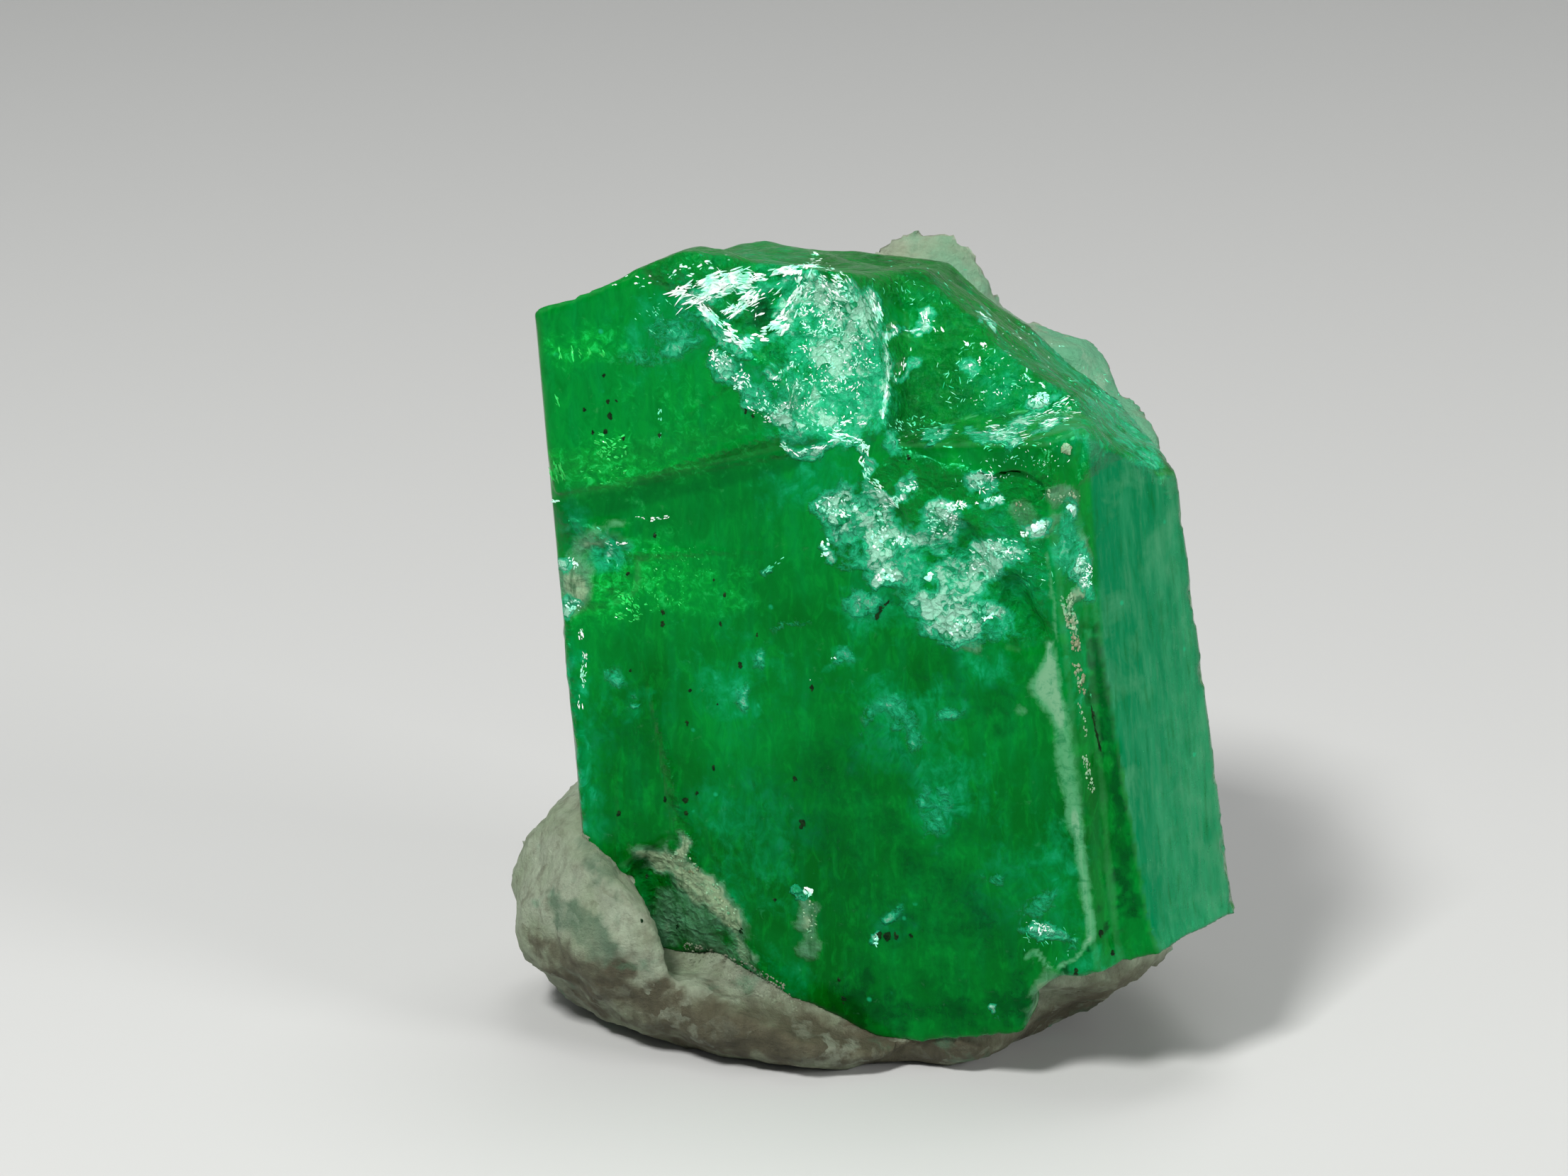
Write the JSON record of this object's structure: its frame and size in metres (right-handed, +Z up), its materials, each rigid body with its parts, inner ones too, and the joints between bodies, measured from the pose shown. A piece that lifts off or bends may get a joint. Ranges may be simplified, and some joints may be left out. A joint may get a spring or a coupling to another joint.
{
  "type": "emerald in matrix",
  "caption": "Broken hexagonal emerald prism with growth steps and a scooped top, seated in a pale calcite matrix that cups its foot and back.",
  "frame": {"origin": "middle of the whole specimen's box, at the flat underside of the matrix", "axes": "+Z up along the leaning prism's height; the wide prism face looks towards -Y, turned 20 degrees towards -X; the striated face is on the right, at +X"},
  "size_m": [0.0122, 0.0088, 0.0139],
  "materials": {
    "emerald": "clear to cloudy green crystal, glassy on its faces and frosted where it broke",
    "calcite": "dull, cream to grey-brown, fine-grained"
  },
  "bodies": {
    "root": {"emerald_crystal": "emerald", "matrix": "calcite"}
  },
  "joints": []
}
